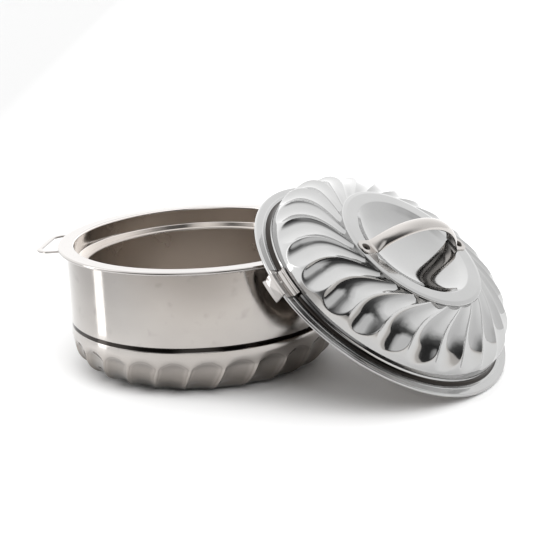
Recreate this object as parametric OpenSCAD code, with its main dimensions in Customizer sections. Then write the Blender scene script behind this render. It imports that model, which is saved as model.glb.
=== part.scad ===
// Insulated steel casserole for flatbread: a double-wall pot and its loose domed lid.
// The pot stands on the floor at the origin, its axis on Z. The lid is off: its rim stands on the
// floor and leans on the pot's flange. Lengths are in millimetres.

/* [Pot] */
// Outer radius of the straight wall
body_radius = 132; // [118:0.5:146]
// Height of the flange above the floor
pot_height = 125.2; // [112:0.2:138]
// How far the flange stands out from the wall
flange_overhang = 8; // [6:0.5:10]
// Distance from the wall's outside in to the mouth
mouth_inset = 7.8; // [6.8:0.2:9]
// Depth of the step that the lid's lip drops into
step_depth = 17.6; // [14:0.2:22]
// Width of the step
step_width = 11.4; // [9:0.2:18]
// Height of the vessel's inner bottom
vessel_floor = 12.5; // [8:0.5:20]
// Radius of the corner round the vessel's bottom
vessel_corner = 14; // [8:1:24]
// Thickness of the steel sheet
sheet = 1; // [0.8:0.1:1.2]

/* [Fluted base] */
// Height of the pressed groove's lower edge
groove_height = 46.2; // [44:0.2:50]
// Width of the groove
groove_width = 4.8; // [3:0.2:7]
// Depth of the groove
groove_depth = 1.5; // [1:0.1:2.2]
// Radius of the flat that the pot stands on
foot_radius = 84; // [70:1:92]
// Number of scoops round the base
base_flutes = 26; // [18:1:30]
// Depth of a scoop
base_scoop = 3.6; // [2:0.2:4.4]
// Height of the scoops' arched tops
base_arch = 38; // [34:0.5:40]
// Turn of a scoop from its top to its foot, in degrees
base_swirl = 5; // [0:1:12]

/* [Side loops] */
// Direction of the left loop, in degrees
loop_turn = 171; // [160:1:180]
// Width across a loop
loop_width = 72; // [50:1:84]
// How far a loop stands out from the flange
loop_reach = 21; // [18:1:30]
// Width of the loop's strap
loop_strap = 5.6; // [4:0.2:8]
// Thickness of the loop's strap
loop_thick = 2.2; // [1.6:0.1:3]
// Distance from the loop's strap up to the flange
loop_drop = 4.2; // [3:0.2:12]
// Radius of the loop's corners
loop_corner = 13; // [9:1:16]

/* [Lid] */
// Distance from the flange's edge in to the edge of the lid's rim
rim_inset = 1.5; // [-1:0.5:3]
// How much wider than the mouth the lid's plain skirt is
skirt_lap = 0.5; // [0:0.1:0.8]
// Distance from the skirt out to the crease in the rim
crease_width = 5.3; // [4.5:0.1:6]
// Height of the skirt's foot above the rim
skirt_foot = 6.5; // [5.5:0.5:8]
// Height of the fluted dome above the rim
dome_rise = 50.4; // [46:0.2:56]
// Radius of the raised plateau on top
plateau_radius = 76; // [73:0.5:80]
// Height of the plateau's step
plateau_step = 2.4; // [1.6:0.1:3]
// Width of the plateau round the dish
plateau_width = 15; // [14:0.5:20]
// Depth of the dish
dish_depth = 11; // [8:0.5:13]
// Height of the lip under the lid
lip_depth = 5; // [4.5:0.1:8]
// Rise of the hollow under the lid
hollow_rise = 30; // [24:1:32]

/* [Lid flutes] */
// Number of swirled flutes
lid_flutes = 26; // [20:1:32]
// Depth of a flute
flute_depth = 5.2; // [3:0.2:6]
// Turn of a flute from the skirt to the plateau, in degrees
flute_swirl = 24; // [10:1:40]
// Height at which the flutes' round ends begin
flute_foot = 14.5; // [13.5:0.5:18]
// Height at which the ridges between flutes begin
flute_cusp = 25; // [22:0.5:30]

/* [Handle] */
// Direction of the handle on the lid, in degrees
handle_turn = 71.8; // [60:1:85]
// Rise of the handle above its feet
handle_rise = 27; // [22:1:34]
// Width of the handle
handle_width = 16; // [12:0.5:20]
// Height of the handle's rounded section
handle_crown = 4.6; // [3:0.2:6]
// Radius of a rivet's head
rivet_head = 4.2; // [3.6:0.1:5]
// Radius of a rivet's shank
rivet_shank = 2; // [1.6:0.1:2.4]

/* [Clips] */
// Direction of the front clip on the lid, in degrees
clip_turn = 247.9; // [244:0.5:254]
// Width of a clip along the rim, in degrees
clip_sweep = 14; // [10:1:18]
// Length of the flap that hangs outside the rim
clip_flap = 9.5; // [6:0.5:12]
// Thickness of the clip
clip_sheet = 0.8; // [0.6:0.1:1]

/* [Leaning lid] */
// Direction in which the lid slopes down, in degrees
lid_turn = -30.9; // [-33:0.1:-29]
// Direction of the place on the flange where the lid leans, in degrees
lean_turn = -59.4; // [-61:0.1:-58]

/* [Hidden] */
$fn = 180;

// Clearance between pieces that lie side by side.
gap = 0.3;
// Outer radius of a rolled edge, and the radius to the middle of its sheet.
roll = 1.7;
roll_mid = roll - sheet / 2;
// How far a rolled edge is turned back under the flange.
roll_hem = 3;
// Radius of the rounded edge between flange and mouth.
mouth_edge = 1.5;
// Depth of the buried end where a fluted band meets a plain sheet.
lap = 1.4;
// Part of the sheet's thickness that the fluted band keeps inside that joint.
band_skin = 0.42;
// Points on each flute and scoop, round the axis.
flute_steps = 6;
scoop_steps = 5;
// Steps in a bend's arc.
bend_steps = 7;

flange_radius = body_radius + flange_overhang;
mouth_radius = body_radius - mouth_inset;
vessel_radius = mouth_radius - step_width;
// Heights of the middle of the flange's sheet, of its hem and of the shell's lip below it.
flange_mid = pot_height - sheet / 2;
hem_mid = flange_mid - 2 * roll_mid;
lip_mid = flange_mid - roll_mid;
roll_radius = flange_radius - roll;
// The step in the mouth slopes inwards and ends in a rounded edge.
step_height = pot_height - step_depth;
step_slope = 1.8;
step_edge = 2.2;
wall_mid = vessel_radius + sheet / 2;

// The bowl under the groove is a superellipse from the wall to the flat foot.
bowl_top = groove_height - 0.4;
bowl_radius = body_radius + 0.5;
bowl_reach = 0.79;
bowl_rise = 0.66;
arch_end = base_arch - 7;
scoop_phase = 4;

lid_radius = flange_radius - rim_inset;
skirt_radius = mouth_radius + skirt_lap;
crease_radius = skirt_radius + crease_width;
// Heights on the lid, above the rim.
rim_mid = 0.8 - sheet / 2;
rim_radius = lid_radius - roll;
liner_mid = rim_mid - roll_mid;
rim_hem = rim_mid - 2 * roll_mid;
rim_bottom = rim_hem - sheet / 2;
dome_base = 16;
dome_centre = plateau_radius - 4;
plateau_edge = dome_rise + plateau_step - sheet;
plateau_rise = 0.6;
dish_radius = plateau_radius - plateau_width;
dish_edge = 1.6;
dish_top = plateau_edge + plateau_rise;
dish_floor = dish_top - dish_depth;
lip_radius = mouth_radius - 2.7;
lip_bend = 2;
hollow_radius = lip_radius - 2 * lip_bend;

// The bend of the lid's lip lies on the rolled edge of the flange, and the rim's lowest point
// on the floor. lip_turn is the place on the lid, and lean_way points from the edge to the bend.
lip_turn = 230.1;
lean_way = [0.2335, -0.4225, 0.8758];
lip_ring = lip_radius - lip_bend;
lip_x = lip_ring * cos(lip_turn);
lip_height = rim_bottom - lip_depth + lip_bend;
lean_point = [roll_radius * cos(lean_turn), roll_radius * sin(lean_turn), lip_mid]
    + (roll + lip_bend + sheet / 2 + gap) * lean_way;
lean_run = lid_radius - lip_x;
lean_rise = roll + lip_height;
lid_tilt = asin((lean_point[2] - gap) / norm([lean_run, lean_rise])) - atan2(lean_rise, lean_run);
lip_out = lip_x * cos(lid_tilt) + lip_height * sin(lid_tilt);
lip_side = lip_ring * sin(lip_turn);
lid_centre = [
    lean_point[0] - lip_out * cos(lid_turn) + lip_side * sin(lid_turn),
    lean_point[1] - lip_out * sin(lid_turn) - lip_side * cos(lid_turn),
    lid_radius * sin(lid_tilt) + roll * cos(lid_tilt) + gap];

// The handle is riveted to the middle of the plateau; its arc goes through the feet and the crown.
handle_span = dish_radius + plateau_radius - 1;
foot_length = 15;
arch_half = handle_span / 2 - 11;
arch_radius = (arch_half * arch_half + handle_rise * handle_rise) / (2 * handle_rise);
arch_angle = asin(arch_half / arch_radius);
handle_sheet = 1.2;
foot_level = dish_top + sheet / 2;
section_radius = (handle_width * handle_width / 4 + handle_crown * handle_crown) / (2 * handle_crown);
rivet_hole = rivet_shank + 0.1;
head_rise = 2;
washer_radius = 3.9;
washer_thick = 0.8;
tail_radius = 3;
tail_rise = 1.2;

// The clip's saddle and its rivets.
clip_inner = skirt_radius + 1.5;
clip_level = rim_mid + sheet / 2 + clip_sheet / 2 + 0.1;
clip_rivet_inset = 6.5;
clip_rivet_radius = lid_radius - clip_rivet_inset;
clip_shank = 1.1;
clip_hole = clip_shank + 0.1;
clip_head = 1.6;
clip_head_rise = 0.9;
clip_rivet_turns = [-5.6, -0.6];

steel = [0.80, 0.80, 0.80];
foam = [0.93, 0.88, 0.70];

// Points on an arc, from angle a to angle b.
function arc(c, r, a, b, n = bend_steps) =
    [for (i = [0:n]) c + r * [cos(a + (b - a) * i / n), sin(a + (b - a) * i / n)]];

// Unit vector across a path at its point i.
function across(p, i) =
    let (q = p[min(i + 1, len(p) - 1)] - p[max(i - 1, 0)])
    [-q[1], q[0]] / norm(q);

// Outline of a sheet of thickness t whose middle follows the path p.
function strip(p, t = sheet) = concat(
    [for (i = [0:len(p) - 1]) p[i] + across(p, i) * t / 2],
    [for (i = [len(p) - 1:-1:0]) p[i] - across(p, i) * t / 2]);

// A turned sheet.
module turned(path, t = sheet) {
    rotate_extrude() polygon(strip(path, t));
}

// ---- Fluted bands ----
// Depth of a scoop at the part w of its width, lopsided, for an end that has opened by e.
function scoop(w, e) =
    let (v = pow(w, 0.8))
    max(0, e - pow(2 * v - 1, 2));

function clamp(x) = max(0, min(1, x));

// Closed band between rows of points, from the lowest up.
// A row is [radius, height, normal, turn, depth scale, opening].
module fluted_band(rows, flutes, steps, skin) {
    columns = flutes * steps;
    count = len(rows);
    function point(row, j, inset) =
        let (depth = inset + row[4] * scoop((j % steps) / steps, row[5]),
             r = row[0] - depth * row[2][0],
             turn = 360 * j / columns + row[3])
        [r * cos(turn), r * sin(turn), row[1] - depth * row[2][1]];
    points = concat(
        [for (row = rows) for (j = [0:columns - 1]) point(row, j, sheet / 2 - skin)],
        [for (row = rows) for (j = [0:columns - 1]) point(row, j, sheet / 2 + skin)]);
    shell = count * columns;
    function quad(a, b, c, d) = [[a, b, c], [a, c, d]];
    function corner(i, j) = i * columns + j % columns;
    outside = [for (i = [0:count - 2]) for (j = [0:columns - 1])
        each quad(corner(i, j), corner(i + 1, j), corner(i + 1, j + 1), corner(i, j + 1))];
    inside = [for (f = outside) [f[0] + shell, f[2] + shell, f[1] + shell]];
    first = [for (j = [0:columns - 1])
        each quad(corner(0, j), corner(0, j + 1), corner(0, j + 1) + shell, corner(0, j) + shell)];
    last = [for (j = [0:columns - 1])
        each quad(corner(count - 1, j + 1), corner(count - 1, j),
                  corner(count - 1, j) + shell, corner(count - 1, j + 1) + shell)];
    polyhedron(points, concat(outside, inside, first, last), convexity = 8);
}

// ---- Pot ----
// Outer face of the bowl at the angle a: 0 at the flat foot, 90 at the groove.
function bowl_point(a) = [
    foot_radius + (bowl_radius - foot_radius) * pow(sin(a), bowl_reach),
    bowl_top * (1 - pow(cos(a), bowl_rise))];
function bowl_normal(a) =
    let (d = bowl_point(min(a + 0.5, 90)) - bowl_point(max(a - 0.5, 0)))
    [d[1], -d[0]] / norm(d);
function bowl_mid(a) = bowl_point(a) - bowl_normal(a) * sheet / 2;
// Angle on the bowl at which its face reaches the height z.
function bowl_angle(z) = acos(pow(1 - z / bowl_top, 1 / bowl_rise));

function scoop_row(a) =
    let (p = bowl_point(a), open = clamp((base_arch - p[1]) / (base_arch - arch_end)))
    [p[0], p[1], bowl_normal(a), scoop_phase - base_swirl * (1 - p[1] / base_arch),
     base_scoop * clamp((a - 8) / 24), open];

module outer_shell() {
    wall = body_radius - sheet / 2;
    groove = wall - groove_depth;
    seam = base_arch + 0.3;
    color(steel) union() {
        turned(concat(
            [[roll_radius + 0.3, lip_mid], [wall + 2, lip_mid]],
            arc([wall + 2, lip_mid - 2], 2, 90, 180),
            [[wall, groove_height + groove_width + 0.6],
             [groove, groove_height + groove_width - 0.6],
             [groove, groove_height + 0.6],
             [wall, groove_height - 0.4]],
            [for (z = [bowl_top:-2:seam + 1]) bowl_mid(bowl_angle(z))],
            [bowl_mid(bowl_angle(seam))]));
        fluted_band(
            [for (a = concat([5, 18, 33, 46, 58, 70],
                             [for (z = [arch_end, base_arch - 3, seam - 0.2, seam + lap]) bowl_angle(z)]))
                scoop_row(a)],
            base_flutes, scoop_steps, sheet * band_skin);
        cylinder(r = bowl_point(6)[0], h = sheet + 0.4);
    }
}

module inner_vessel() {
    mouth_mid = mouth_radius + sheet / 2;
    bottom_mid = vessel_floor - sheet / 2;
    corner = vessel_corner + sheet / 2;
    color(steel) turned(concat(
        [[roll_radius - roll_hem, hem_mid]],
        arc([roll_radius, lip_mid], roll_mid, -90, 90, 10),
        arc([mouth_mid + mouth_edge, flange_mid - mouth_edge], mouth_edge, 90, 180),
        arc([mouth_mid - 1.2, step_height + 1.2], 1.2, 0, -80, 5),
        arc([wall_mid + step_edge, step_height - step_slope - step_edge], step_edge, 80, 180),
        arc([wall_mid - corner, bottom_mid + corner], corner, 0, -90, 10),
        [[1, bottom_mid]]));
    color(steel) translate([0, 0, vessel_floor - sheet]) cylinder(r = 2, h = sheet);
}

module vessel_foam() {
    wall = body_radius - sheet - groove_depth - gap;
    skin = sheet + base_scoop + 2 * gap;
    floor_level = vessel_floor - sheet;
    inner = vessel_radius + sheet + gap;
    corner = vessel_corner + sheet + gap;
    color(foam) rotate_extrude() polygon(concat(
        [[0, sheet + 0.4], [bowl_point(6)[0], sheet + 0.4]],
        [for (a = [18:11:84]) bowl_point(a) - bowl_normal(a) * skin],
        [[wall, groove_height], [wall, step_height + 6]],
        [[mouth_radius + sheet + gap + 0.6, step_height + 6],
         [mouth_radius + sheet + gap + 0.6, step_height - sheet - 1.5],
         [inner + 2.6, step_height - step_slope - 2.6],
         [inner, step_height - step_slope - 5]],
        arc([inner - corner, floor_level + corner - gap], corner, 0, -80, 8),
        [[inner - corner, floor_level], [0, floor_level]]));
}

// Loop of flat strap, drawn out along X from the pot's axis.
module side_loop() {
    reach = flange_radius + loop_reach - loop_strap / 2;
    half = loop_width / 2 - loop_strap / 2;
    root = half - 4;
    top = pot_height - 2 * roll - loop_drop + loop_thick / 2;
    pad = 12;
    color(steel) difference() {
        union() {
            translate([0, 0, top - loop_thick]) linear_extrude(loop_thick)
                polygon(strip(concat(
                    [[body_radius - 12, -root + 1]],
                    arc([reach - loop_corner, -half + loop_corner], loop_corner, -80, 0, 8),
                    arc([reach - loop_corner, half - loop_corner], loop_corner, 0, 80, 8),
                    [[body_radius - 12, root - 1]]), loop_strap));
            for (side = [-1, 1])
                rotate(side * asin(root / body_radius))
                    translate([body_radius - 3, -pad / 2, top - 8])
                        cube([3 + loop_thick, pad, 8]);
        }
        translate([0, 0, top - 20]) cylinder(r = body_radius, h = 40);
    }
}

module side_loop_left() { rotate(loop_turn) side_loop(); }
module side_loop_right() { rotate(loop_turn + 180) side_loop(); }

// ---- Lid, drawn level with its rim at height 0, then leaned on the pot ----
module leaned() {
    translate(lid_centre)
        rotate([0, 0, lid_turn]) rotate([0, lid_tilt, 0]) children();
}

// Outer face of the dome at the angle a: 0 at its foot, 90 over the plateau.
function dome_point(a) = [
    dome_centre + (skirt_radius - dome_centre) * cos(a),
    dome_base + (dome_rise - dome_base) * sin(a)];
function dome_normal(a) =
    let (d = [(dome_rise - dome_base) * cos(a), (skirt_radius - dome_centre) * sin(a)])
    d / norm(d);

// The flutes keep to the radius near the skirt and sweep round as they reach the plateau.
function flute_row(p, n) =
    let (inward = clamp((skirt_radius - p[0]) / (skirt_radius - plateau_radius)),
         open = clamp((p[1] - flute_foot) / (flute_cusp - flute_foot)))
    [p[0], p[1], n, flute_swirl * pow(inward, 2.5),
     flute_depth * (1 - 0.72 * inward), open];

// Middle of the concave dish's sheet, at a part of its radius.
function dish_point(part) = [
    (dish_radius - dish_edge) * part,
    dish_floor + dish_depth * (pow(part, 2) + pow(part, 5)) / 2 - 0.4 * part];

module lid_cover() {
    skirt = skirt_radius - sheet / 2;
    cove = crease_radius - skirt + 0.6;
    dome_end = acos((plateau_radius - sheet / 2 - dome_centre) / (skirt_radius - dome_centre));
    color(steel) leaned() difference() {
        union() {
            turned(concat(
                [[rim_radius - roll_hem, rim_hem]],
                arc([rim_radius, liner_mid], roll_mid, -90, 90, 10),
                arc([crease_radius, rim_mid + cove], cove, -90, -176, 8),
                [[skirt - 0.5, skirt_foot - 0.4], [skirt, skirt_foot + 0.4],
                 [skirt, flute_foot - 0.6]]));
            fluted_band(concat(
                [for (h = [flute_foot - 0.6 - lap, flute_foot - 0.2]) flute_row([skirt_radius, h], [1, 0])],
                [for (a = [3, 8, 13, 19, 27, 36, 46, 57, 68, 78, dome_end])
                    flute_row(dome_point(a), dome_normal(a))]),
                lid_flutes, flute_steps, sheet * band_skin);
            turned(concat(
                [[plateau_radius - sheet / 2, dome_rise - sheet - 0.4]],
                arc([plateau_radius - sheet / 2 - 0.7, plateau_edge - 0.7], 0.7, 0, 80, 4),
                [[plateau_radius - 4, dish_top]],
                arc([dish_radius, dish_top - dish_edge], dish_edge, 90, 130, 5),
                [for (part = [0.93:-0.1:0.1]) dish_point(part)],
                [[1, dish_floor]]));
            translate([0, 0, dish_floor - sheet / 2]) cylinder(r = 2, h = sheet);
        }
        rivet_places() translate([0, 0, -10]) cylinder(r = rivet_hole, h = 20);
        clip_rivet_places() translate([0, 0, -1.4]) cylinder(r = clip_hole, h = 4);
    }
}

module lid_liner() {
    color(steel) leaned() difference() {
        union() {
            turned(concat(
                [[rim_radius + 0.3, liner_mid]],
                arc([lip_radius + 1, liner_mid - 1], 1, 90, 180, 4),
                arc([lip_radius - lip_bend, rim_bottom - lip_depth + lip_bend], lip_bend, 0, -180, 8),
                [for (a = [0:6:84]) [hollow_radius * cos(a), hollow_rise * sin(a)]],
                [[1, hollow_rise]]));
            translate([0, 0, hollow_rise - sheet / 2]) cylinder(r = 2, h = sheet);
        }
        clip_rivet_places() translate([0, 0, -3]) cylinder(r = clip_hole, h = 6);
    }
}

module lid_foam() {
    side = skirt_radius - sheet - flute_depth - gap;
    low = sheet / 2 + gap;
    color(foam) leaned() rotate_extrude() polygon(concat(
        [for (a = [90:-8:10]) [(hollow_radius + low) * cos(a), (hollow_rise + low) * sin(a)]],
        [[side, 8], [side, dome_base]],
        [for (a = [10:14:66]) dome_point(a) - dome_normal(a) * (sheet + flute_depth + 1)],
        [[dish_radius + 8, dome_rise - 8]],
        [for (part = [1:-0.1:0.1]) dish_point(part) - [0, sheet * 0.5 + 0.6 + part]],
        [[0, dish_floor - sheet / 2 - 0.1]]));
}

// Half-round channel of the handle, in the plane of its arch.
module handle_section() {
    difference() {
        translate([handle_crown - section_radius, 0]) circle(r = section_radius);
        translate([handle_crown - section_radius, 0]) circle(r = section_radius - handle_sheet);
        translate([-4 * section_radius, -2 * section_radius]) square(4 * section_radius);
    }
}

module handle_foot() {
    width = handle_width;
    translate([arch_half - 2, -width / 2, foot_level])
        cube([foot_length - width / 4 + 4, width, handle_sheet]);
    translate([handle_span / 2 + 1, 0, foot_level])
        intersection() {
            cylinder(r = width / 2 - 1.4, h = handle_sheet);
            translate([0, -width, 0]) cube([2 * width, 2 * width, handle_sheet]);
        }
}

module lid_handle() {
    centre = foot_level + handle_rise - arch_radius;
    color(steel) leaned() rotate(handle_turn) difference() {
        union() {
            translate([0, 0, centre]) rotate([90, 0, 0]) rotate(90 - arch_angle)
                rotate_extrude(angle = 2 * arch_angle)
                    translate([arch_radius, 0]) handle_section();
            for (side = [0, 180]) rotate(side) handle_foot();
        }
        for (side = [0, 180]) rotate(side)
            translate([handle_span / 2, 0, foot_level - 1]) cylinder(r = rivet_hole, h = 6);
        translate([0, 0, foot_level - 20]) cylinder(r = handle_span, h = 20);
    }
}

module rivet_places() {
    for (side = [0, 180]) rotate(handle_turn + side)
        translate([handle_span / 2, 0, foot_level]) children();
}

// Domed head, shank and closed tail.
module handle_rivets() {
    head = (rivet_head * rivet_head + head_rise * head_rise) / (2 * head_rise);
    tail = sheet + washer_thick + tail_rise;
    color(steel) leaned() rivet_places() {
        translate([0, 0, handle_sheet]) intersection() {
            translate([0, 0, head_rise - head]) sphere(r = head);
            cylinder(r = rivet_head, h = head_rise);
        }
        translate([0, 0, -tail + tail_rise / 2]) cylinder(r = rivet_shank, h = tail + handle_sheet);
        translate([0, 0, -tail]) cylinder(r = tail_radius, h = tail_rise);
    }
}

module handle_washers() {
    color(steel) leaned() rivet_places()
        translate([0, 0, -sheet - washer_thick]) difference() {
            cylinder(r = washer_radius, h = washer_thick);
            translate([0, 0, -1]) cylinder(r = rivet_hole, h = washer_thick + 2);
        }
}

// Saddle over the rim with a flap that hangs outside it.
module lid_clip(turn) {
    flap = clip_sweep * 0.74;
    outer = lid_radius + clip_sheet / 2 + 0.4;
    color(steel) leaned() rotate(turn) difference() {
        union() {
            rotate(-clip_sweep / 2) rotate_extrude(angle = clip_sweep)
                polygon(strip(concat(
                    [[clip_inner, skirt_foot + 0.6]],
                    arc([crease_radius + 0.4, clip_level + 4], 4, -150, -90, 6),
                    [[lid_radius - 0.6, clip_level]]), clip_sheet));
            rotate(-flap / 2) rotate_extrude(angle = flap)
                polygon(strip(concat(
                    [[lid_radius - 4, clip_level]],
                    arc([outer - 2, clip_level - 2], 2, 90, 0, 6),
                    [[outer, -clip_flap + 2], [outer + 1.8, -clip_flap]]), clip_sheet));
        }
        for (side = clip_rivet_turns) rotate(side)
            translate([clip_rivet_radius, 0, -2]) cylinder(r = clip_hole, h = 8);
    }
}

module lid_clip_front() { lid_clip(clip_turn); }
module lid_clip_back() { lid_clip(clip_turn + 180); }

module clip_rivet_places() {
    for (side = [0, 180]) for (turn = clip_rivet_turns) rotate(clip_turn + side + turn)
        translate([clip_rivet_radius, 0, 0]) children();
}

module clip_rivets() {
    seat = clip_level + clip_sheet / 2;
    head = (clip_head * clip_head + clip_head_rise * clip_head_rise) / (2 * clip_head_rise);
    foot = liner_mid - sheet / 2 - 0.7;
    color(steel) leaned() clip_rivet_places() {
        translate([0, 0, seat]) intersection() {
            translate([0, 0, clip_head_rise - head]) sphere(r = head);
            cylinder(r = clip_head, h = clip_head_rise);
        }
        translate([0, 0, foot]) cylinder(r = clip_shank, h = seat - foot + 0.2);
        translate([0, 0, foot]) cylinder(r = clip_shank + 0.4, h = 0.6);
    }
}

outer_shell();
inner_vessel();
vessel_foam();
side_loop_left();
side_loop_right();
lid_cover();
lid_liner();
lid_foam();
lid_handle();
handle_rivets();
handle_washers();
lid_clip_front();
lid_clip_back();
clip_rivets();
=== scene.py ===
"""Looks for the insulated casserole: fine sheet-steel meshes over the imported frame, studio and camera.

Lengths in the geometry functions are millimetres, as in the part's source; MM turns them into metres.
"""

import math

import bmesh
import bpy
import numpy as np
from mathutils import Matrix, Vector


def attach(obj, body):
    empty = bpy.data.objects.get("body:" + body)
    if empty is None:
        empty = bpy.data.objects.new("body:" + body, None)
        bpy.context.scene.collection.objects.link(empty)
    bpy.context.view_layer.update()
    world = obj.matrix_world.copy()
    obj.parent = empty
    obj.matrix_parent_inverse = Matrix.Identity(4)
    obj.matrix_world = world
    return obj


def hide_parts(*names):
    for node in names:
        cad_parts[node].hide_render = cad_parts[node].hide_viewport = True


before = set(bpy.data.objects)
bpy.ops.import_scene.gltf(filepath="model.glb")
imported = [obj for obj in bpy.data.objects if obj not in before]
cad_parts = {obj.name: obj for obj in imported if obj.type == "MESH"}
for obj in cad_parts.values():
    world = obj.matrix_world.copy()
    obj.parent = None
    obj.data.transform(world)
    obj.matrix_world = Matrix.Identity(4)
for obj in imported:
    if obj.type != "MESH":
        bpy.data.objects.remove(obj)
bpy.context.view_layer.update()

MM = 0.001

# ---- Sizes, the same as the part's source ----
SHEET = 1.0
FLANGE_R, POT_H, BODY_R, MOUTH_R = 140.0, 125.2, 132.0, 124.2
STEP_DEPTH, VESSEL_R, VESSEL_FLOOR, VESSEL_CORNER = 17.6, 112.8, 12.5, 14.0
GROOVE_Z, GROOVE_W, GROOVE_D = 46.2, 4.8, 1.5
FOOT_R, BASE_FLUTES, BASE_SCOOP, BASE_ARCH, BASE_SWIRL, SCOOP_PHASE = 84.0, 26, 3.6, 38.0, 5.0, 4.0
ROLL, HEM, EDGE = 1.7, 3.0, 1.5
ROLL_MID = ROLL - SHEET / 2
LOOP_TURN, LOOP_W, LOOP_REACH, LOOP_STRAP = 171.0, 72.0, 21.0, 5.6
LOOP_THICK, LOOP_DROP, LOOP_CORNER, LOOP_EDGE = 2.2, 4.2, 13.0, 0.9
PAD_W, PAD_H, PAD_THICK, PAD_EDGE = 11.2, 7.6, 2.1, 0.5

LID_R, CREASE_R, SKIRT_R, SKIRT_FOOT, DOME_H = 138.5, 130.0, 124.7, 6.5, 50.4
PLATEAU_R, PLATEAU_STEP, PLATEAU_RISE, DISH_R, DISH_D, DISH_EDGE = 76.0, 2.4, 0.6, 61.0, 11.0, 1.6
LIP_DEPTH, HOLLOW_RISE, LIP_BEND = 5.0, 30.0, 2.0
LID_FLUTES, FLUTE_D, FLUTE_SWIRL, FLUTE_FOOT, FLUTE_CUSP = 26, 5.2, 24.0, 14.5, 25.0
FLUTE_FADE, FLUTE_TWIST = 0.72, 2.5
DOME_BASE, DOME_C = 16.0, 72.0
HANDLE_TURN, HANDLE_SPAN, HANDLE_RISE, HANDLE_CROWN, HANDLE_SHEET = 71.8, 136.0, 27.0, 4.6, 1.2
HANDLE_END, HANDLE_FLAT, HANDLE_FOOT, HANDLE_STRAP_W, HANDLE_FOOT_W = 75.4, 66.0, 62.0, 15.2, 16.0
HANDLE_INSET, HANDLE_RIVET_R, HANDLE_RIVET_H = 11.0, 4.2, 2.0
CLIP_TURN, CLIP_SWEEP, CLIP_FLAP, CLIP_SHEET = 247.9, 14.0, 9.5, 0.8
CLIP_RIVET_INSET, CLIP_RIVET_R, CLIP_RIVET_H, CLIP_RIVET_TURNS = 6.5, 1.6, 0.9, (-5.6, -0.6)
LID_TILT, LID_TURN, LID_CENTRE = 37.2548, -30.9, (173.792, -75.3509, 85.4956)

# Powers of the base's bowl, which runs from a flat foot up to a steep wall.
BOWL_OUT, BOWL_UP = 0.79, 0.66

RIM_MID = 0.8 - SHEET / 2
RIM_R = LID_R - ROLL
LINER_MID = RIM_MID - ROLL_MID
RIM_HEM = RIM_MID - 2 * ROLL_MID
PLATEAU_EDGE = DOME_H + PLATEAU_STEP - SHEET
DISH_TOP = PLATEAU_EDGE + PLATEAU_RISE
DISH_FLOOR = DISH_TOP - DISH_D
FOOT_LEVEL = DISH_TOP + SHEET / 2

LEAN = (Matrix.Translation(Vector(LID_CENTRE) * MM)
        @ Matrix.Rotation(math.radians(LID_TURN), 4, "Z") @ Matrix.Rotation(math.radians(LID_TILT), 4, "Y"))


# ---- Materials ----
def nodes_of(name):
    """New material with its node tree and its shader."""
    mat = bpy.data.materials.new(name)
    mat.use_nodes = True
    tree = mat.node_tree
    tree.nodes.clear()
    out = tree.nodes.new("ShaderNodeOutputMaterial")
    bsdf = tree.nodes.new("ShaderNodeBsdfPrincipled")
    tree.links.new(bsdf.outputs["BSDF"], out.inputs["Surface"])
    return mat, tree, bsdf


def calc(tree, operation, *values):
    """Math node over sockets and numbers."""
    node = tree.nodes.new("ShaderNodeMath")
    node.operation = operation
    for socket, value in zip(node.inputs, values):
        if isinstance(value, (int, float)):
            socket.default_value = value
        else:
            tree.links.new(value, socket)
    return node.outputs["Value"]


def axes(tree, kind="Object"):
    """X, Y and Z of a texture coordinate."""
    coord = tree.nodes.new("ShaderNodeTexCoord")
    split = tree.nodes.new("ShaderNodeSeparateXYZ")
    tree.links.new(coord.outputs[kind], split.inputs["Vector"])
    return split.outputs


def stretch_range(tree, value, low, high):
    """Value stretched from low and high to 0 and 1."""
    node = tree.nodes.new("ShaderNodeMapRange")
    node.inputs["From Min"].default_value = low
    node.inputs["From Max"].default_value = high
    tree.links.new(value, node.inputs["Value"])
    return node.outputs["Result"]


def noise(tree, scale, detail, stretch=(1, 1, 1), roughness=0.5):
    """Noise over the object's own coordinates, stretched."""
    coord = tree.nodes.new("ShaderNodeTexCoord")
    mapping = tree.nodes.new("ShaderNodeMapping")
    mapping.inputs["Scale"].default_value = stretch
    tex = tree.nodes.new("ShaderNodeTexNoise")
    tex.inputs["Scale"].default_value = scale
    tex.inputs["Detail"].default_value = detail
    tex.inputs["Roughness"].default_value = roughness
    tree.links.new(coord.outputs["Object"], mapping.inputs["Vector"])
    tree.links.new(mapping.outputs["Vector"], tex.inputs["Vector"])
    return tex.outputs["Fac"]


def ramp(tree, fac, stops):
    """Color ramp with stops of position and color."""
    node = tree.nodes.new("ShaderNodeValToRGB")
    for el, (pos, value) in zip(node.color_ramp.elements, stops):
        el.position = pos
        el.color = value
    for pos, value in stops[2:]:
        node.color_ramp.elements.new(pos).color = value
    tree.links.new(fac, node.inputs["Fac"])
    return node.outputs["Color"]


def grey(v, warm=0.0):
    """Grey of value v, with a little red added and blue taken away where warm."""
    return (v * (1 + warm), v, v * (1 - warm), 1)


def times(tree, a, b):
    """Product of two colors."""
    mix = tree.nodes.new("ShaderNodeMix")
    mix.data_type = "RGBA"
    mix.blend_type = "MULTIPLY"
    mix.inputs["Factor"].default_value = 1.0
    tree.links.new(a, mix.inputs[6])
    tree.links.new(b, mix.inputs[7])
    return mix.outputs[2]


def bump(tree, height, strength, distance, normal=None):
    """Bump over a height, on top of another normal where one is given."""
    node = tree.nodes.new("ShaderNodeBump")
    node.inputs["Strength"].default_value = strength
    node.inputs["Distance"].default_value = distance
    tree.links.new(height, node.inputs["Height"])
    if normal is not None:
        tree.links.new(normal, node.inputs["Normal"])
    return node.outputs["Normal"]


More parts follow.
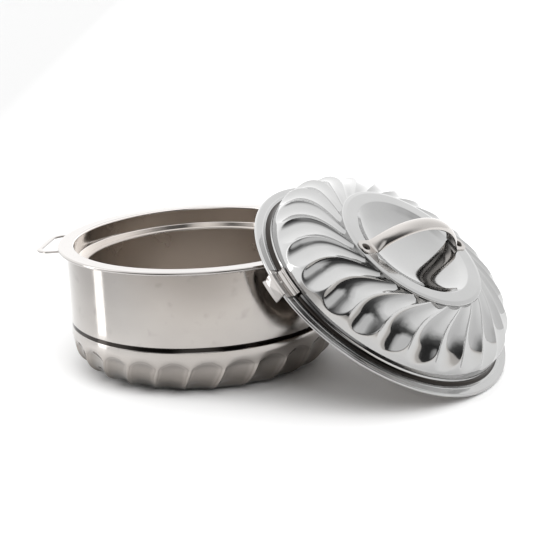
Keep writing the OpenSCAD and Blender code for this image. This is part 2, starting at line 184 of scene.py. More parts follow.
def pressed_shade(tree, color, foot):
    """Color with painted shade: darker by the foot's stops over the lowest 50 mm, mottled at random and
    darker still where the sheet is pressed in.
    """
    height = stretch_range(tree, axes(tree)["Z"], 0.0, 0.05)
    press = tree.nodes.new("ShaderNodeAttribute")
    press.attribute_name = "pressed"
    # Painted shade: the deeper the sheet is pressed in, the darker the mottle.
    deep = calc(tree, "MULTIPLY", press.outputs["Fac"], 0.25)
    mottle = calc(tree, "MULTIPLY_ADD", noise(tree, 70, 2), 0.5, deep)
    mottle_and_scoop_shade = ramp(tree, mottle, [(0.42, grey(1.0)), (0.55, grey(0.76)), (0.75, grey(0.86)), (1.0, grey(0.7))])
    return times(tree, times(tree, color, ramp(tree, height, foot)), mottle_and_scoop_shade)


def steel(name, tint, rough, wave=0.02, scratch=0.03, foot=None):
    """Polished sheet: slight waves left by pressing, fine polishing marks and uneven gloss."""
    mat, tree, bsdf = nodes_of(name)
    bsdf.inputs["Metallic"].default_value = 1.0
    dirt = 0.05
    low = tuple(c * (1 - dirt) for c in tint) + (1,)
    high = tuple(min(1, c * (1 + dirt * 0.4)) for c in tint) + (1,)
    color = ramp(tree, noise(tree, 14, 4, (1, 1, 1.4)), [(0.35, low), (0.65, high)])
    # Where foot stops are given, the colour gets painted shade towards the foot and in the pressed scoops.
    if foot:
        color = pressed_shade(tree, color, foot)
    tree.links.new(color, bsdf.inputs["Base Color"])
    patches = noise(tree, 55, 5, (1, 1, 2.0), 0.6)
    gloss = ramp(tree, patches, [(0.3, grey(rough * 0.75)), (0.75, grey(rough * 1.5))])
    tree.links.new(gloss, bsdf.inputs["Roughness"])
    waves = bump(tree, noise(tree, 22, 1.5), wave, 0.004)
    marks = bump(tree, noise(tree, 900, 2, (1, 1, 0.08)), scratch, 0.0003, waves)
    tree.links.new(marks, bsdf.inputs["Normal"])
    return mat


def turned_steel(name, tint, rough):
    """Satin sheet with turning marks round the pot's axis."""
    mat, tree, bsdf = nodes_of(name)
    bsdf.inputs["Metallic"].default_value = 1.0
    bsdf.inputs["Anisotropic"].default_value = 0.6
    bsdf.inputs["Base Color"].default_value = tuple(tint) + (1,)
    place = axes(tree)
    flat = tree.nodes.new("ShaderNodeCombineXYZ")
    tree.links.new(place["X"], flat.inputs["X"])
    tree.links.new(place["Y"], flat.inputs["Y"])
    radius = tree.nodes.new("ShaderNodeVectorMath")
    radius.operation = "LENGTH"
    tree.links.new(flat.outputs["Vector"], radius.inputs[0])
    ring = tree.nodes.new("ShaderNodeCombineXYZ")
    tree.links.new(radius.outputs["Value"], ring.inputs["X"])
    tree.links.new(place["Z"], ring.inputs["Y"])
    lines = tree.nodes.new("ShaderNodeTexNoise")
    lines.inputs["Scale"].default_value = 1400
    lines.inputs["Detail"].default_value = 3
    tree.links.new(ring.outputs["Vector"], lines.inputs["Vector"])
    tree.links.new(bump(tree, lines.outputs["Fac"], 0.12, 0.0004), bsdf.inputs["Normal"])
    gloss = ramp(tree, noise(tree, 18, 3), [(0.3, grey(rough * 0.85)), (0.7, grey(rough * 1.2))])
    tree.links.new(gloss, bsdf.inputs["Roughness"])
    tangent = tree.nodes.new("ShaderNodeTangent")
    tangent.direction_type = "RADIAL"
    tangent.axis = "Z"
    tree.links.new(tangent.outputs["Tangent"], bsdf.inputs["Tangent"])
    return mat


def foamed(name, color, rough):
    """Matt foam with fine cells."""
    mat, tree, bsdf = nodes_of(name)
    cells = noise(tree, 220, 4)
    dark = tuple(c * 0.86 for c in color) + (1,)
    tree.links.new(ramp(tree, cells, [(0.3, dark), (0.7, tuple(color) + (1,))]), bsdf.inputs["Base Color"])
    bsdf.inputs["Roughness"].default_value = rough
    return mat


polished = steel("polished_steel", (0.475, 0.455, 0.44), 0.07)
# The shell's colour carries painted shade, darker towards the foot and in the pressed scoops.
shell_shaded_steel = steel("shell_painted_shade_steel", (0.445, 0.423, 0.404), 0.1,
                    foot=[(0.0, grey(0.24, 0.08)), (0.22, grey(0.66, 0.05)), (0.5, grey(0.92, 0.03)),
                          (0.88, grey(1.0))])
# Painted light: the mouth wall is the same polished steel, tinted much brighter than the flange to stand for
# light inside the mouth.
mouth_lit_steel = steel("mouth_painted_light_steel", (0.86, 0.82, 0.785), 0.09, 0.05, 0.05)
handle_steel = steel("handle_polished_steel", (0.53, 0.505, 0.485), 0.11, 0.03, 0.02)
# Painted shade: the liner is the same stainless steel, darkened and warmed for the shade under the lid.
liner_shaded_steel = steel("liner_shaded_steel", (0.26, 0.225, 0.195), 0.2, 0.03, 0.03)
rivet_steel = steel("rivet_steel", (0.06, 0.052, 0.046), 0.16, 0.03, 0.04)
# Painted shade: near-black steel for the narrow crease of the lid's cove and the pot's groove, where shade
# falls.
painted_crease_shade = steel("painted_crease_shade", (0.035, 0.031, 0.028), 0.12, 0.03, 0.03)
lid_polished = steel("lid_polished_steel", (0.48, 0.48, 0.478), 0.075, 0.035, 0.02)
satin = turned_steel("turned_steel", (0.60, 0.555, 0.515), 0.3)
foam = foamed("foam", (0.90, 0.84, 0.62), 0.9)


# ---- Geometry helpers ----
def arc(cx, cz, r, a, b, n):
    """Points from angle a to angle b on a circle, in n steps."""
    angles = [math.radians(a + (b - a) * i / n) for i in range(n + 1)]
    return [(cx + r * math.cos(t), cz + r * math.sin(t)) for t in angles]


def support(path):
    """Adds points close to both ends of long straight stretches, so that a bend's shading stays in it."""
    step = 0.35
    out = []
    for p, q in zip(path, path[1:]):
        out.append(p)
        length = math.dist(p, q)
        if length > 4 * step:
            for f in (step / length, 1 - step / length):
                out.append((p[0] + (q[0] - p[0]) * f, p[1] + (q[1] - p[1]) * f))
    out.append(path[-1])
    return out


def path_steps(p):
    """Direction of a path at each of its points, not made to unit length."""
    d = np.empty_like(p)
    d[1:-1] = p[2:] - p[:-2]
    d[0], d[-1] = p[1] - p[0], p[-1] - p[-2]
    return d


def path_normals(p):
    """Unit normals on the left of a flat path."""
    d = path_steps(p)
    return np.stack([-d[:, 1], d[:, 0]], 1) / np.linalg.norm(d, axis=1)[:, None]


def outline(path, t=SHEET):
    """Closed section of a sheet of thickness t whose middle follows the path."""
    p = np.array(support(path), dtype=float)
    n = path_normals(p)
    return np.concatenate([p + n * t / 2, (p - n * t / 2)[::-1]])


def grid(name, points, mats, body, replaced, matrix=None, closed=(True, True), *,
         sharp, pick=None, mark=None):
    """Mesh over a grid of points [rows, columns, 3] in mm, with edges over the angle sharp left sharp.

    closed says whether rows and columns close on themselves. pick gives a face's material, and mark the
    value of the attribute "pressed" at a vertex.
    """
    rows, cols = points.shape[:2]
    mesh = bpy.data.meshes.new(name)
    verts = points.reshape(-1, 3) * MM
    i = np.arange(rows if closed[0] else rows - 1)
    j = np.arange(cols if closed[1] else cols - 1)
    ii, jj = np.meshgrid(i, j, indexing="ij")
    i2, j2 = (ii + 1) % rows, (jj + 1) % cols
    faces = np.stack([ii * cols + jj, ii * cols + j2, i2 * cols + j2, i2 * cols + jj], -1).reshape(-1, 4)
    mesh.from_pydata(verts.tolist(), [], faces.tolist())
    bm = bmesh.new()
    bm.from_mesh(mesh)
    bmesh.ops.remove_doubles(bm, verts=bm.verts, dist=2e-6)
    bmesh.ops.recalc_face_normals(bm, faces=bm.faces)
    if bm.calc_volume(signed=True) < 0:
        bmesh.ops.reverse_faces(bm, faces=bm.faces)
    bm.to_mesh(mesh)
    bm.free()
    obj = bpy.data.objects.new(name, mesh)
    bpy.context.collection.objects.link(obj)
    for m in mats:
        mesh.materials.append(m)
    if pick:
        for poly in mesh.polygons:
            poly.material_index = pick(poly.center)
    if mark:
        depth = mesh.attributes.new("pressed", "FLOAT", "POINT")
        depth.data.foreach_set("value", [mark(v.co) for v in mesh.vertices])
    mesh.polygons.foreach_set("use_smooth", [True] * len(mesh.polygons))
    mesh.set_sharp_from_angle(angle=math.radians(sharp))
    if matrix is not None:
        mesh.transform(matrix)
    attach(obj, body)
    if replaced:
        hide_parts(*replaced)


def turn(section, columns=288, start=0.0, sweep=360.0):
    """Points of a section [n, 2] turned about Z."""
    full = abs(sweep - 360) < 1e-6
    a = np.radians(start + sweep * np.arange(columns if full else columns + 1) / columns)
    s = np.asarray(section)
    r, z = s[:, 0, None], s[:, 1, None]
    return np.stack([r * np.cos(a), r * np.sin(a), np.repeat(z, len(a), 1)], -1)


def swept_strip(section, columns, start, sweep):
    """Points of a section turned about Z over part of a circle, closed at both ends."""
    return capped(np.swapaxes(turn(section, columns, start, sweep), 0, 1))


# Positions across a flute, closer together at its ridges.
RIDGE_W = np.array([0, .008, .02, .036, .058, .088, .13, .18, .24, .31, .39, .47,
                    .55, .63, .70, .765, .82, .868, .908, .94, .964, .98, .992])
FLUTE_LEAN, RIDGE_ROUND = 0.8, 0.012


def scoop_depth(w, opening):
    """Depth of a scoop, 0 to 1, lopsided, with a ridge that is rounded over a hair's breadth."""
    v = w ** FLUTE_LEAN
    s = np.minimum(v, 1 - v)
    s = np.sqrt(s * s + RIDGE_ROUND ** 2) - RIDGE_ROUND
    return np.maximum(0, opening - (1 - 2 * s) ** 2)


def smooth(t):
    """Ease from 0 to 1."""
    return t * t * (3 - 2 * t)


def fluted(outer, normals, depth, opening, swirl, flutes, flat=1.0):
    """Closed sheet whose outer face is pressed in by scoops with steep edges where flat is below 1."""
    w = np.tile(RIDGE_W, flutes)
    base = np.repeat(np.arange(flutes), len(RIDGE_W))
    turn_deg = (base + w) * 360.0 / flutes
    out = []
    for side in (0.0, SHEET):
        d = side + depth[:, None] * scoop_depth(w[None, :], opening[:, None]) ** flat
        r = outer[:, 0, None] - d * normals[:, 0, None]
        z = outer[:, 1, None] - d * normals[:, 1, None]
        a = np.radians(turn_deg[None, :] + swirl[:, None])
        out.append(np.stack([r * np.cos(a), r * np.sin(a), z], -1))
    return np.concatenate([out[0], out[1][::-1]])


# ---- Pot ----
def outer_shell():
    """Wall with its pressed groove, and the fluted base."""
    wall = BODY_R
    lip = POT_H - SHEET / 2 - ROLL_MID
    groove = wall - GROOVE_D
    bowl_top, bowl_r = GROOVE_Z - 0.4, BODY_R + 0.5
    k = SHEET / 2
    upper = [(FLANGE_R - ROLL + 0.3, lip - k)] + arc(wall + 1.5, lip - k - 1.5, 1.5, 90, 180, 8)
    upper += arc(wall - 0.5, GROOVE_Z + GROOVE_W + 0.5, 0.5, 0, -70, 5)
    upper += arc(groove + 0.7, GROOVE_Z + GROOVE_W - 1.0, 0.7, 110, 200, 8)
    upper += arc(wall - 0.9, GROOVE_Z - 0.3, 0.9, 40, 0, 6)
    angles = np.concatenate([np.linspace(88, 62, 14), np.linspace(61, 40, 22),
                             np.linspace(39, 8, 30), [5, 2]])
    s, c = np.sin(np.radians(angles)), np.cos(np.radians(angles))
    bowl = np.stack([FOOT_R + (bowl_r - FOOT_R) * s ** BOWL_OUT, bowl_top * (1 - c ** BOWL_UP)], 1)
    p = np.concatenate([np.array(support(upper)), bowl, [[FOOT_R - 4, 0.0], [40, 0.0], [0, 0.0]]])
    n = path_normals(p)
    z = p[:, 1]
    opening = np.clip((BASE_ARCH - z) / 8.0, 0, 1)
    # The scoops die out towards the foot, between 47 and 13 degrees of the bowl's arc.
    ang = np.degrees(np.arccos(np.clip(1 - z / bowl_top, 0, 1) ** (1 / BOWL_UP)))
    depth = BASE_SCOOP * 1.2 * smooth(np.clip((ang - 13) / 34, 0, 1))
    depth[z > BASE_ARCH] = 0
    swirl = SCOOP_PHASE - BASE_SWIRL * (1 - z / BASE_ARCH) - 3.0 * (1 - z / BASE_ARCH) ** 3
    swirl[z > BASE_ARCH] = SCOOP_PHASE
    pts = fluted(p, n, depth, opening, swirl, BASE_FLUTES, flat=0.85)

    def pressed(c):
        """How far a point lies inside the bowl's unpressed outline, in mm."""
        return float(np.interp(c.z / MM, bowl[::-1, 1], bowl[::-1, 0])) - math.hypot(c.x, c.y) / MM

    # The groove's faces get the painted crease shade.
    def pick(c):
        in_groove = math.hypot(c.x, c.y) < (wall - 0.3) * MM and GROOVE_Z < c.z / MM < GROOVE_Z + GROOVE_W
        return 1 if in_groove else 0

    grid("pot_shell", pts, [shell_shaded_steel, painted_crease_shade], "pot", ["outer_shell"],
         pick=pick, sharp=40, mark=pressed)


def inner_vessel():
    """Rolled flange, mouth, step and the satin vessel below it."""
    flange = POT_H - SHEET / 2
    lip, hem = flange - ROLL_MID, flange - 2 * ROLL_MID
    step = POT_H - STEP_DEPTH
    wall = VESSEL_R + SHEET / 2
    mouth = MOUTH_R + SHEET / 2
    bottom = VESSEL_FLOOR - SHEET / 2
    corner = VESSEL_CORNER + SHEET / 2
    path = [(FLANGE_R - ROLL - HEM, hem)]
    path += arc(FLANGE_R - ROLL, lip, ROLL_MID, -90, 90, 18)
    path += arc(mouth + EDGE, flange - EDGE, EDGE, 90, 180, 12)
    path += arc(mouth - 1.2, step + 1.2, 1.2, 0, -80, 8)
    path += arc(wall + 2.2, step - 1.8 - 2.2, 2.2, 80, 180, 14)
    path += arc(wall - corner, bottom + corner, corner, 0, -90, 20)
    path += [(60, bottom), (0, bottom)]
    pts = turn(outline(path))

    # Material 2, the mouth steel, is painted light: a much brighter tint of the same polished steel above the
    # step.
    def pick(c):
        r = math.hypot(c.x, c.y)
        if r < (wall + 2.0) * MM and c.z < (step - 0.6) * MM:
            return 1
        return 2 if r < (mouth + 0.4) * MM else 0

    grid("vessel_inner", pts, [polished, satin, mouth_lit_steel], "pot", ["inner_vessel"],
         pick=pick, sharp=50)


def sweep_section(path, section):
    """Grid of a closed section [m, 2] (side, up) swept along the path [n, 3], with Z upwards."""
    p = np.asarray(path, dtype=float)
    d = path_steps(p)
    d /= np.linalg.norm(d, axis=1)[:, None]
    side = np.cross(d, np.array([0.0, 0.0, 1.0]))
    side /= np.linalg.norm(side, axis=1)[:, None]
    top = np.cross(side, d)
    s = np.asarray(section)
    return p[:, None, :] + side[:, None, :] * s[None, :, 0, None] + top[:, None, :] * s[None, :, 1, None]


def rounded_section(w, h, r):
    """Rectangle with rounded corners."""
    pts = []
    for right, up, a in ((1, 1, 0), (-1, 1, 90), (-1, -1, 180), (1, -1, 270)):
        pts += arc(right * (w / 2 - r), up * (h / 2 - r), r, a, a + 90, 5)
    return np.array(pts)


def capped(points):
    """Closes both ends of a swept grid onto their middles."""
    first, last = points[0].mean(0), points[-1].mean(0)
    shape = points[0].shape
    return np.concatenate([[np.broadcast_to(first, shape)], points, [np.broadcast_to(last, shape)]])


def side_loop(name, node, turn_deg):
    """Flat strap bent to a U, with a welded pad at each end."""
    reach = FLANGE_R + LOOP_REACH - LOOP_STRAP / 2
    half = LOOP_W / 2 - LOOP_STRAP / 2
    root = half - 4
    top = POT_H - 2 * ROLL - LOOP_DROP + LOOP_THICK / 2
    mid = top - LOOP_THICK / 2
    start = math.sqrt((BODY_R + 0.1) ** 2 - (root - 0.7) ** 2)
    flat = [(start, -root + 0.7)] + arc(reach - LOOP_CORNER, -half + LOOP_CORNER, LOOP_CORNER, -80, 0, 14)
    flat += arc(reach - LOOP_CORNER, half - LOOP_CORNER, LOOP_CORNER, 0, 80, 14) + [(start, root - 0.7)]
    path = [(x, y, mid) for x, y in support(flat)]
    rot = Matrix.Rotation(math.radians(turn_deg), 4, "Z")
    strap = capped(sweep_section(path, rounded_section(LOOP_STRAP, LOOP_THICK, LOOP_EDGE)))
    grid(name, strap, [polished], "pot", [node], rot, closed=(False, True), sharp=60)
    for side in (-1, 1):
        a = side * math.degrees(math.asin(root / BODY_R))
        w = math.degrees(PAD_W / 2 / BODY_R)
        back, face, low = BODY_R - 0.2, BODY_R + PAD_THICK, top - PAD_H
        section = [(back, low), (face - PAD_EDGE, low), (face, low + PAD_EDGE), (face, top - PAD_EDGE),
                   (face - PAD_EDGE, top), (back, top)]
        pad = swept_strip(section, 12, a - w, 2 * w)
        grid("%s_pad_%s" % (name, "left" if side < 0 else "right"), pad, [polished], "pot", (),
             rot, closed=(False, True), sharp=30)


# ---- Lid, drawn level and leaned by LEAN ----
def lid_cover():
    """Rolled rim, cove, skirt, swirled flutes, plateau and dish as one sheet."""
    cove = CREASE_R - (SKIRT_R - 0.5) + 0.6
    k = SHEET / 2
    lower = arc(RIM_R, LINER_MID, ROLL, -90, 90, 20)
    lower = [(RIM_R - HEM, RIM_HEM - k)] + lower
    lower += arc(CREASE_R + 1.3, RIM_MID + k + 0.7, 0.7, -90, -150, 5)
    lower += arc(CREASE_R - 1.5, RIM_MID + k + cove - 1.2, cove - 1.4, -75, -170, 10)
    lower += [(SKIRT_R - 0.5, SKIRT_FOOT - 0.4), (SKIRT_R - 0.1, SKIRT_FOOT), (SKIRT_R, SKIRT_FOOT + 0.6)]
    straight = [(SKIRT_R, z) for z in np.linspace(FLUTE_FOOT - 4, DOME_BASE, 12)]
    dome_end = math.degrees(math.acos((PLATEAU_R - DOME_C) / (SKIRT_R - DOME_C)))
    ang = np.radians(np.concatenate([np.linspace(1.5, 30, 22), np.linspace(31.5, dome_end, 30)]))
    dome = [(DOME_C + (SKIRT_R - DOME_C) * math.cos(a), DOME_BASE + (DOME_H - DOME_BASE) * math.sin(a))
            for a in ang]
    top_z = PLATEAU_EDGE + k
    plateau = arc(PLATEAU_R - 1.2, top_z - 1.2, 1.2, 0, 80, 8) + [(PLATEAU_R - 4, DISH_TOP + k)]
    plateau += arc(DISH_R, DISH_TOP - DISH_EDGE, DISH_EDGE + k, 90, 130, 8)
    # The dish's middle surface is a curve over the part of its radius, moved to the upper face by its slope.
    part = np.linspace(0.955, 0, 64)
    level = DISH_FLOOR + DISH_D * (0.4 * part ** 2 + 0.6 * part ** 6) - 0.4 * part
    slope = (DISH_D * (0.8 * part + 3.6 * part ** 5) - 0.4) / (DISH_R - DISH_EDGE)
    lift = k / np.sqrt(1 + slope ** 2)
    plateau += list(zip(np.maximum(0, (DISH_R - DISH_EDGE) * part - slope * lift), level + lift))
    p = np.concatenate([np.array(support(lower)), straight, dome, np.array(support(plateau))])
    # The path runs up and inwards, so the sheet's outer side is on its right.
    n = -path_normals(p)
    r, z = p[:, 0], p[:, 1]
    first = len(support(lower))
    last = first + len(straight) + len(dome)
    body = np.zeros(len(p), bool)
    body[first:last] = True
    inward = np.clip((SKIRT_R - r) / (SKIRT_R - PLATEAU_R), 0, 1)
    rise = np.clip((z - FLUTE_FOOT) / (FLUTE_CUSP + 7 - FLUTE_FOOT), 0, 1)
    opening = np.where(body, 1 - (1 - rise) ** 2, 0)
    depth = np.where(body, FLUTE_D * (1 - FLUTE_FADE * inward), 0)
    swirl = FLUTE_SWIRL * inward ** FLUTE_TWIST
    swirl[last:] = swirl[last - 1]
    n[first:first + len(straight)] = (1, 0)
    pts = fluted(p, n, depth, opening, swirl, LID_FLUTES)

    # Faces in the cove below the skirt's foot get the painted crease shade.
    def pick(c):
        in_ring = SKIRT_R - 0.7 < math.hypot(c.x, c.y) / MM < SKIRT_R + 3.2
        return 1 if in_ring and c.z < (SKIRT_FOOT - 0.3) * MM else 0

    grid("lid_fluted_cover", pts, [lid_polished, painted_crease_shade], "lid", ["lid_cover"], LEAN,
         pick=pick, sharp=45)


def lid_liner():
    """Inner sheet with its lip and its hollow."""
    lip_r = MOUTH_R - 2.7
    hollow = lip_r - 2 * LIP_BEND
    bottom = RIM_HEM - SHEET / 2
    path = [(RIM_R + 0.3, LINER_MID)] + arc(lip_r + 1, LINER_MID - 1, 1, 90, 180, 6)
    path += arc(lip_r - LIP_BEND, bottom - LIP_DEPTH + LIP_BEND, LIP_BEND, 0, -180, 14)
    path += [(hollow * math.cos(a), HOLLOW_RISE * math.sin(a)) for a in np.radians(np.linspace(0, 88, 40))]
    path += [(0, HOLLOW_RISE)]
    grid("lid_inner_liner", turn(outline(path)), [liner_shaded_steel], "lid", ["lid_liner"], LEAN,
         sharp=50)


def lid_handle():
    """Half-round channel that flattens into its feet, in the plane of its arch."""
    arch_half = HANDLE_SPAN / 2 - HANDLE_INSET
    radius = (arch_half ** 2 + HANDLE_RISE ** 2) / (2 * HANDLE_RISE)
    x = np.concatenate([np.linspace(-HANDLE_END, -50, 44), np.linspace(-49, 49, 70),
                        np.linspace(50, HANDLE_END, 44)])
    arch = np.sqrt(np.maximum(radius ** 2 - x ** 2, 1e-6)) + HANDLE_RISE - radius
    arch = np.where(np.abs(x) > HANDLE_FLAT, -30, arch)
    # A soft maximum joins the arch and the level feet.
    soft = 1.1
    z = soft * np.log(np.exp(arch / soft) + 1)
    fade = smooth(np.clip((HANDLE_FOOT - np.abs(x)) / 14, 0, 1))
    crown = HANDLE_CROWN * fade
    end = np.clip((HANDLE_END + 0.2 - np.abs(x)) / 6.6, 0, 1)
    width = HANDLE_STRAP_W * fade + HANDLE_FOOT_W * (1 - fade)
    width *= np.sqrt(np.clip(1 - (1 - end) ** 2, 0.02, 1))
    slope = np.gradient(z, x)
    length = np.sqrt(1 + slope ** 2)
    nx, nz = -slope / length, 1 / length
    q = np.sin(np.linspace(-math.pi / 2, math.pi / 2, 25))
    # The crown is a half round, cut a little short of its ends.
    cut = 0.985
    shape = np.sqrt(np.clip(1 - (q * cut) ** 2, 0, 1)) - math.sqrt(1 - cut ** 2)
    rows = []
    for side in (0.0, HANDLE_SHEET):
        lift = HANDLE_SHEET + crown[:, None] * shape[None, :] - side
        y = np.where(side > 0, 1 - fade[:, None] / 8, 1) * width[:, None] / 2 * q[None, :]
        rows.append(np.stack([x[:, None] + nx[:, None] * lift, y,
                              z[:, None] + nz[:, None] * lift + FOOT_LEVEL], -1))
    pts = np.concatenate([rows[0], rows[1][:, ::-1]], 1)
    place = LEAN @ Matrix.Rotation(math.radians(HANDLE_TURN), 4, "Z")
    grid("lid_arch_handle", capped(pts), [handle_steel], "lid", ["lid_handle"], place,
         closed=(False, True), sharp=50)


def rivet(name, place, head_r, head_h, replaced, mat=polished):
    """Domed head with a small rounded edge, on its shank."""
    ball = (head_r ** 2 + head_h ** 2) / (2 * head_h)
    angles = np.radians(np.linspace(math.degrees(math.asin(head_r / ball)), 0, 12))
    section = [(0, -1.5), (head_r * 0.5, -1.5), (head_r * 0.5, 0), (head_r * 0.98, 0.0)]
    section += [(ball * math.sin(a), head_h - ball + ball * math.cos(a)) for a in angles]
    grid(name, turn(section, 40), [mat], "lid", replaced, place, sharp=40)


def clip(name, node, turn_deg):
    """Saddle over the rim, hemmed at its inner edge, with a flap outside that turns out at its foot."""
    place = LEAN @ Matrix.Rotation(math.radians(turn_deg), 4, "Z")

    def strip(suffix, pts, replaced, sharp):
        grid(name + suffix, pts, [polished], "lid", replaced, place,
             closed=(False, True), sharp=sharp)

    level = RIM_MID + SHEET / 2 + CLIP_SHEET / 2 + 0.1
    outer = LID_R + CLIP_SHEET / 2 + 0.4
    half = CLIP_SWEEP / 2
    saddle = [(SKIRT_R + 1.5, SKIRT_FOOT + 0.6)]
    saddle += arc(CREASE_R + 0.4, level + 4, 4, -150, -90, 8) + [(LID_R - 0.6, level)]
    strip("", swept_strip(outline(saddle, CLIP_SHEET), 24, -half, CLIP_SWEEP), [node], 40)
    flap = [(LID_R - 4, level)] + arc(outer - 2, level - 2, 2, 90, 0, 10)
    flap += [(outer, -CLIP_FLAP + 2.4), (outer + 1.8, -CLIP_FLAP)]
    w = CLIP_SWEEP * 0.37
    strip("_flap", swept_strip(outline(flap, CLIP_SHEET), 16, -w, 2 * w), (), 30)
    hem = arc(0, 0, 0.75, 0, 360, 14)[:-1]
    r, h = SKIRT_R + 2.0, SKIRT_FOOT + 0.1
    a = np.radians(np.linspace(-half + 0.4, half - 0.4, 24))
    path = [(r * math.cos(t), r * math.sin(t), h) for t in a]
    strip("_hem", capped(sweep_section(path, hem)), (), 60)


outer_shell()
inner_vessel()
side_loop("loop_left", "side_loop_left", LOOP_TURN)
side_loop("loop_right", "side_loop_right", LOOP_TURN + 180)
lid_cover()
lid_liner()
lid_handle()
for index, side in enumerate((0, 180)):
    place = (LEAN @ Matrix.Rotation(math.radians(HANDLE_TURN + side), 4, "Z")
             @ Matrix.Translation((HANDLE_SPAN / 2 * MM, 0, (FOOT_LEVEL + HANDLE_SHEET) * MM)))
    rivet("handle_rivet_%d" % (index + 1), place, HANDLE_RIVET_R, HANDLE_RIVET_H,
          ["handle_rivets"] if index == 0 else (), rivet_steel)
for where, side in (("front", 0), ("back", 180)):
    clip("clip_" + where, "lid_clip_" + where, CLIP_TURN + side)
    for k, off in enumerate(CLIP_RIVET_TURNS):
        seat = RIM_MID + SHEET / 2 + CLIP_SHEET + 0.1
        place = (LEAN @ Matrix.Rotation(math.radians(CLIP_TURN + side + off), 4, "Z")
                 @ Matrix.Translation(((LID_R - CLIP_RIVET_INSET) * MM, 0, seat * MM)))
        rivet("clip_rivet_%s_%d" % (where, k + 1), place, CLIP_RIVET_R, CLIP_RIVET_H,
              ["clip_rivets"] if side == 0 and k == 0 else ())

# The solids that are sealed in keep their CAD shape and only get a material.
for name, mat in (("vessel_foam", foam), ("lid_foam", foam), ("handle_washers", polished)):
    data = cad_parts[name].data
    data.materials.clear()
    data.materials.append(mat)


# ---- Stage, light and camera ----
def floor_plane():
    """Plain pale floor with painted shade: a little darker in front, below the camera's view, and far to the
    left.
    """
    mesh = bpy.data.meshes.new("floor")
    s = 30.0
    mesh.from_pydata([(-s, -s, 0), (s, -s, 0), (s, s, 0), (-s, s, 0)], [], [(0, 1, 2, 3)])
    obj = bpy.data.objects.new("floor", mesh)
    bpy.context.collection.objects.link(obj)
    mat, tree, bsdf = nodes_of("floor_white")
    place = axes(tree)
    # Painted shade on the floor: darker towards the front and, by the second ramp, towards the far left.
    front_shade = ramp(tree, stretch_range(tree, place["Y"], -1.6, -0.2), [
        (0.0, (0.52, 0.50, 0.48, 1)), (0.755, (0.57, 0.545, 0.52, 1)), (0.80, (0.67, 0.645, 0.62, 1)),
        (0.87, (0.86, 0.84, 0.82, 1)), (1.0, (0.95, 0.95, 0.95, 1))])
    left = ramp(tree, stretch_range(tree, place["X"], -0.5, -0.2), [(0.0, grey(0.66)), (1.0, grey(1.0))])
    tree.links.new(times(tree, front_shade, left), bsdf.inputs["Base Color"])
    bsdf.inputs["Roughness"].default_value = 0.7
    bsdf.inputs["Specular IOR Level"].default_value = 0.1
    mesh.materials.append(mat)


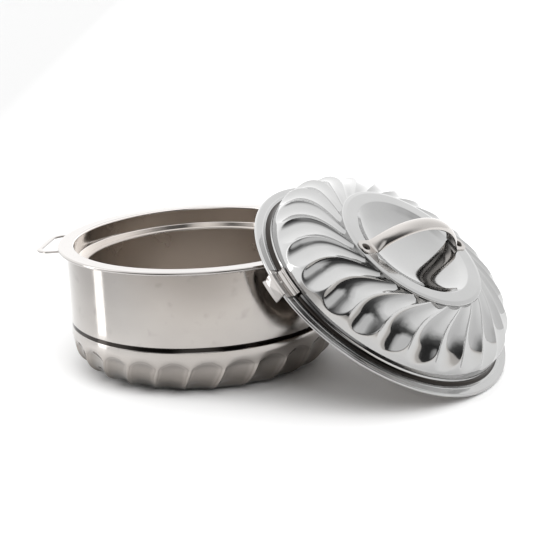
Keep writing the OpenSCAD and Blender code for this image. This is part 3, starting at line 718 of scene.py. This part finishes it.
def studio_world():
    """White studio behind, above and at the sides that darkens into the room behind the camera."""
    world = bpy.data.worlds.new("studio")
    bpy.context.scene.world = world
    world.use_nodes = True
    tree = world.node_tree
    tree.nodes.clear()
    out = tree.nodes.new("ShaderNodeOutputWorld")
    back = tree.nodes.new("ShaderNodeBackground")
    tree.links.new(back.outputs["Background"], out.inputs["Surface"])
    coord = tree.nodes.new("ShaderNodeTexCoord")
    direction = axes(tree, "Generated")
    warp = tree.nodes.new("ShaderNodeTexNoise")
    warp.inputs["Scale"].default_value = 3.0
    warp.inputs["Detail"].default_value = 2.0
    tree.links.new(coord.outputs["Generated"], warp.inputs["Vector"])
    uneven = calc(tree, "MULTIPLY_ADD", warp.outputs["Fac"], 0.16, 0.42)
    depth = calc(tree, "MULTIPLY_ADD", direction["Y"], 0.5, uneven)
    shade = ramp(tree, depth, [(0.08, grey(0.03)), (0.20, grey(0.09)), (0.26, grey(0.25)), (0.33, grey(0.62)),
                               (0.45, grey(0.86)), (0.62, grey(0.9)), (0.92, grey(1.0))])
    # A soft white screen stands behind the camera, and the right side of the studio is dimmer.
    screen = tree.nodes.new("ShaderNodeMapping")
    screen.inputs["Location"].default_value = (0.30, 0.0, -1.05)
    screen.inputs["Scale"].default_value = (3.3, 0.0, 2.3)
    tree.links.new(coord.outputs["Generated"], screen.inputs["Vector"])
    reach = tree.nodes.new("ShaderNodeVectorMath")
    reach.operation = "LENGTH"
    tree.links.new(screen.outputs["Vector"], reach.inputs[0])
    cloud = calc(tree, "MULTIPLY_ADD", warp.outputs["Fac"], -0.9, reach.outputs["Value"])
    inside = ramp(tree, cloud, [(0.05, grey(0.6)), (0.7, grey(0.0))])
    front = ramp(tree, direction["Y"], [(0.0, grey(1.0)), (0.01, grey(0.0))])
    lit = calc(tree, "MAXIMUM", shade, calc(tree, "MULTIPLY", inside, front))
    tree.links.new(lit, back.inputs["Color"])
    sides = ramp(tree, direction["X"], [(0.15, grey(1.6)), (0.75, grey(1.15))])
    tree.links.new(sides, back.inputs["Strength"])


def fill_sun(name, place, strength, angle):
    """Broad light for the floor, kept out of the mirrored highlights."""
    data = bpy.data.lights.new(name, "SUN")
    data.energy = strength
    data.angle = math.radians(angle)
    obj = bpy.data.objects.new(name, data)
    obj.rotation_euler = (-Vector(place)).to_track_quat("-Z", "Y").to_euler()
    obj.visible_glossy = False
    bpy.context.collection.objects.link(obj)


def area(name, place, aim, size, power):
    """Rectangular light at a place, aimed at a point."""
    data = bpy.data.lights.new(name, "AREA")
    data.shape = "RECTANGLE"
    data.size, data.size_y = size
    data.energy = power
    obj = bpy.data.objects.new(name, data)
    obj.location = place
    obj.rotation_euler = (Vector(aim) - Vector(place)).to_track_quat("-Z", "Y").to_euler()
    bpy.context.collection.objects.link(obj)


def camera():
    """Position and aim fitted to the photograph's ellipses."""
    data = bpy.data.cameras.new("camera")
    obj = bpy.data.objects.new("camera", data)
    pitch, roll = math.radians(15.177), math.radians(-2.758)
    forward = Vector((0, math.cos(pitch), -math.sin(pitch)))
    level_up, level_right = Vector((0, math.sin(pitch), math.cos(pitch))), Vector((1, 0, 0))
    right = math.cos(roll) * level_right + math.sin(roll) * level_up
    up = -math.sin(roll) * level_right + math.cos(roll) * level_up
    place = Matrix((right, up, -forward)).transposed().to_4x4()
    place.translation = Vector((64.36, -1387.0, 465.97)) * MM
    obj.matrix_world = place
    # The focal length was fitted in pixels of the 533-pixel-wide photograph.
    focal_px, photo_px = 1443.03, 533.0
    data.sensor_width = 36.0
    data.lens = focal_px * data.sensor_width / photo_px
    data.clip_end = 200.0
    data.dof.use_dof = False
    bpy.context.collection.objects.link(obj)
    bpy.context.scene.camera = obj


floor_plane()
studio_world()
fill_sun("fill_front", (0.42, -0.6, 0.75), 1.9, 45)
area("strip_left", (-0.27, -0.075, 0.15), (0.0, -0.05, 0.15), (0.042, 0.5), 0.13)
camera()
bpy.context.scene.view_settings.view_transform = "Standard"
